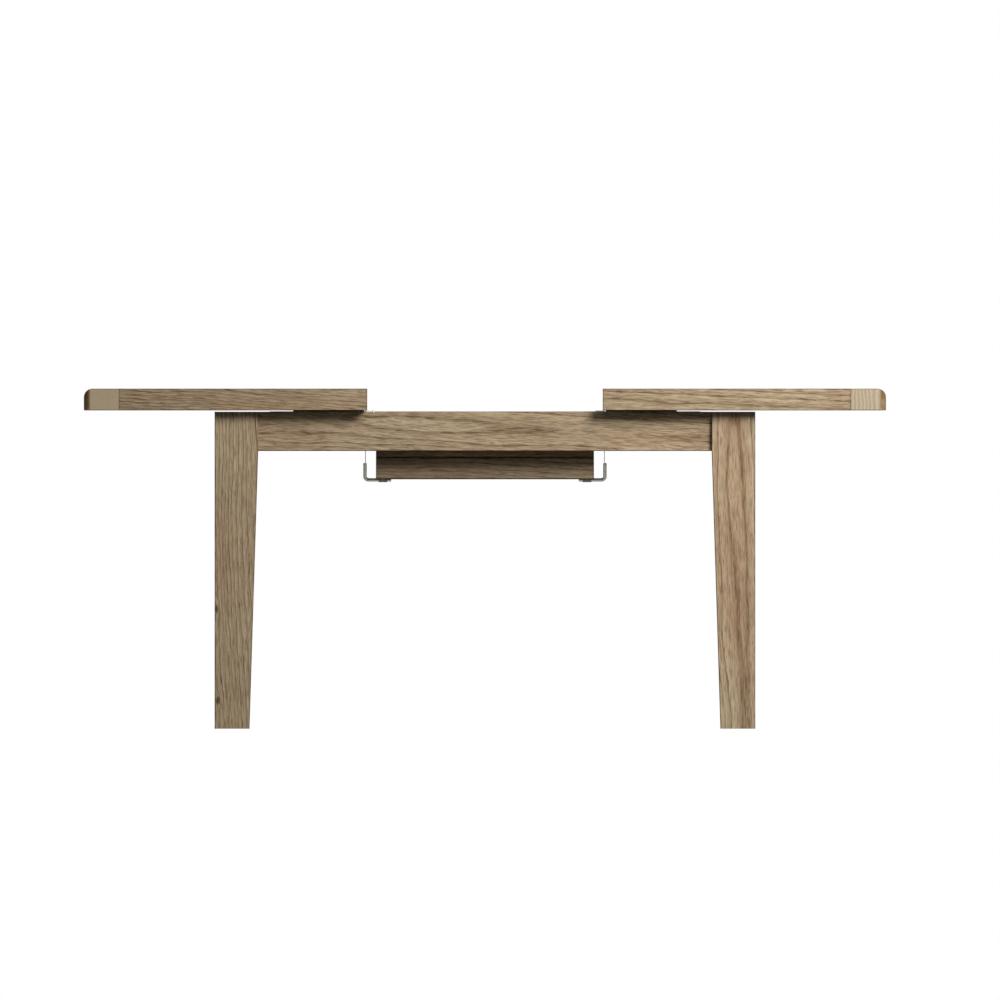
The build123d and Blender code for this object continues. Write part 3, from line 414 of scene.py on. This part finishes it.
legs()
along_x("apron_front", 5.0, 0.005, 0.075, 0.05, 0.0060, tone=0.97, figure=0.9, flecks=0.4)
along_x("apron_back", 6.0, -0.03, -0.06, 0.03)
along_x("left_top_front_lipping", 7.0, 0.01, 0.045, 0.085, 0.0062, tone=0.93, flecks=0.4)
along_x("right_top_front_lipping", 8.0, -0.01, 0.06, 0.045, 0.0066, tone=0.92, flecks=0.4)
along_x("left_top_back_lipping", 9.0, 0.02, -0.05, 0.05, 0.0080)
along_x("right_top_back_lipping", 10.0, -0.02, -0.05, -0.05, 0.0080)
# The leaf's lippings get darker tones, which paint in part of the shade the stored leaf lies in under the
# apron.
along_x("leaf_lower_lipping", 11.0, 0.06, 0.05, 0.015, 0.0066, tone=0.78)
along_x("leaf_upper_lipping", 12.0, -0.05, 0.05, 0.02, 0.0066, tone=0.85)
along_y("apron_left", 13.0, (0.04, 0.03), 0.03)
along_y("apron_right", 14.0, (-0.05, 0.02), 0.03)
along_y("left_top_end_board", 15.0, (0.9, 0.3), 0.02, 0.0080, END_OAK, 0.96, 0.0040, 0.14)
along_y("right_top_end_board", 16.0, (0.9, 0.02), 0.02, 0.0080, PALE_END_OAK, 0.95, 0.0092, 0.6)


def panels():
    """The planks of the two halves and of the leaf, each plank from its own part of a log."""
    lean = 0.02
    fields = {
        "left_top_planks": (17.0, 6),
        "right_top_planks": (18.0, 6),
        "leaf_lower_planks": (19.0, 3),
        "leaf_upper_planks": (20.0, 3),
    }
    for name, (seed, count) in fields.items():
        low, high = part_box(name)
        boards = ("Y", low[1], (high[1] - low[1]) / count)
        heart = (middle(name, 1) + lean * seed * LOG_STEP, middle(name, 2) - 0.07)
        material = wood("oak_" + name, "X", seed, heart, lean, 0.0088, boards=boards, figure=1.3)
        paint([name], material)


panels()

# ---- Hidden timber ----
paint(["cross_rail_left", "cross_rail_right"],
      wood("timber_cross_rails", "Y", 21.0, (0.9, 0.6), 0.02, 0.012, PLAIN_TIMBER))
paint(["left_top_battens", "right_top_battens"],
      wood("timber_battens", "Y", 22.0, (0.8, 0.7), 0.02, 0.012, PLAIN_TIMBER))
paint(["corner_blocks"], wood("timber_corner_blocks", "X", 23.0, (0.6, 0.5), 0.02, 0.012, PLAIN_TIMBER))
paint(["leaf_arm_blocks"], wood("timber_arm_blocks", "X", 24.0, (0.6, 0.5), 0.02, 0.010, PLAIN_TIMBER))

# ---- Metal, plastic and rubber ----
zinc = spangled_zinc("galvanised_rail")
fastener = brushed("zinc_fastener", srgb(186, 188, 190), 0.32, "Z")
rod = brushed("polished_round_bar", srgb(156, 153, 146), 0.12, "Z", spots=0.08)
pressed = brushed("pressed_latch_steel", srgb(150, 150, 148), 0.38, "X")
brass = brushed("satin_brass", srgb(172, 138, 80), 0.42, "X")
black = moulded("black_nylon", srgb(16, 16, 16), 0.42)
white = moulded("white_nylon", srgb(232, 232, 226), 0.40)
rubber = moulded("stop_rubber", srgb(24, 24, 24), 0.72, grain=900.0, specular=0.25)

finish_of_slot = {
    "zinc_steel": fastener,
    "polished_steel": rod,
    "latch_steel": pressed,
    "brass": brass,
    "black_nylon": black,
    "white_nylon": white,
    "stop_rubber": rubber,
}
for part in frame["record"]["subparts"]:
    if part["material_slot"] in finish_of_slot:
        paint([part["node"]], finish_of_slot[part["material_slot"]])
paint(["slide_rail_front", "slide_rail_back"], zinc)
# The saddles are a dark grey steel, darker than the rod, which partly paints the shade the foot lies in
# under the leaf.
paint(["leaf_arm_saddles"], brushed("darkened_strap", srgb(100, 94, 84), 0.42, "X", metallic=0.8))


# ---- Floor, light and camera ----
FLOOR_WIDTH = 30.0
FLOOR_DROP = 0.0005  # below the feet, so that the two faces don't flicker
SKY_ABOVE = 0.34  # strength of the sky's light from above
SKY_BELOW = 0.03  # and from below the horizon
SKY_BLEND = 0.03  # half the height of the band between the two
VIEW_WIDTH = 2.2935  # metres across the picture
VIEW_CENTRE = (0.0345, 0.5246)  # middle of the picture, along X and Z
VIEW_DISTANCE = 6.0


def stage_floor():
    """A plain pale floor that takes shadows and casts no light back up."""
    bpy.ops.mesh.primitive_plane_add(size=FLOOR_WIDTH, location=(0, 0, -FLOOR_DROP))
    floor = bpy.context.object
    floor.name = "studio_floor"
    shader = Shader("pale_floor")
    cloud = shader.noise(shader.coordinates.outputs["Object"], 1.5, 2.0)
    shader.set("Base Color", shader.mix(cloud, (0.80, 0.80, 0.79), (0.84, 0.84, 0.83)))
    shader.set("Roughness", 0.7)
    floor.data.materials.append(shader.material)
    floor.visible_diffuse = False


def soft_light(name, place, target, size, power, colour=(1.0, 1.0, 1.0)):
    """A round lamp that faces its target."""
    lamp = bpy.data.lights.new(name, "AREA")
    lamp.shape = "DISK"
    lamp.size = size
    lamp.energy = power
    lamp.color = colour
    holder = bpy.data.objects.new(name, lamp)
    bpy.context.scene.collection.objects.link(holder)
    holder.location = place
    reach = [b - a for a, b in zip(place, target)]
    flat = math.hypot(reach[0], reach[1])
    holder.rotation_euler = (math.atan2(flat, -reach[2]), 0, math.atan2(-reach[0], reach[1]))


def sky():
    """White behind the object for the camera, and for the object an even light, nearly all from above."""
    world = bpy.data.worlds.new("studio")
    bpy.context.scene.world = world
    world.use_nodes = True
    tree = world.node_tree
    tree.nodes.clear()
    output = tree.nodes.new("ShaderNodeOutputWorld")
    mixer = tree.nodes.new("ShaderNodeMixShader")
    path = tree.nodes.new("ShaderNodeLightPath")
    seen = tree.nodes.new("ShaderNodeBackground")
    glow = tree.nodes.new("ShaderNodeBackground")
    seen.inputs["Color"].default_value = (1, 1, 1, 1)
    glow.inputs["Color"].default_value = (1, 1, 1, 1)
    place = tree.nodes.new("ShaderNodeTexCoord")
    split = tree.nodes.new("ShaderNodeSeparateXYZ")
    ramp = tree.nodes.new("ShaderNodeMapRange")
    ramp.inputs["From Min"].default_value = -SKY_BLEND
    ramp.inputs["From Max"].default_value = SKY_BLEND
    ramp.inputs["To Min"].default_value = SKY_BELOW
    ramp.inputs["To Max"].default_value = SKY_ABOVE
    tree.links.new(place.outputs["Generated"], split.inputs[0])
    tree.links.new(split.outputs["Z"], ramp.inputs["Value"])
    tree.links.new(ramp.outputs["Result"], glow.inputs["Strength"])
    tree.links.new(path.outputs["Is Camera Ray"], mixer.inputs[0])
    tree.links.new(glow.outputs[0], mixer.inputs[1])
    tree.links.new(seen.outputs[0], mixer.inputs[2])
    tree.links.new(mixer.outputs[0], output.inputs["Surface"])


def camera():
    """A level view of the front, without perspective."""
    lens = bpy.data.cameras.new("front_view")
    lens.type = "ORTHO"
    lens.ortho_scale = VIEW_WIDTH
    lens.clip_end = 50.0
    holder = bpy.data.objects.new("front_view", lens)
    bpy.context.scene.collection.objects.link(holder)
    holder.location = (VIEW_CENTRE[0], -VIEW_DISTANCE, VIEW_CENTRE[1])
    holder.rotation_euler = (math.radians(90), 0, 0)
    bpy.context.scene.camera = holder


stage_floor()
sky()
soft_light("key", (2.1, -2.6, 2.5), (0, -0.2, 0.6), 1.6, 160.0, (1.0, 0.995, 0.985))
soft_light("back", (-1.6, 2.6, 2.2), (0, 0, 0.5), 1.6, 60.0)
camera()
bpy.context.scene.view_settings.view_transform = "Standard"
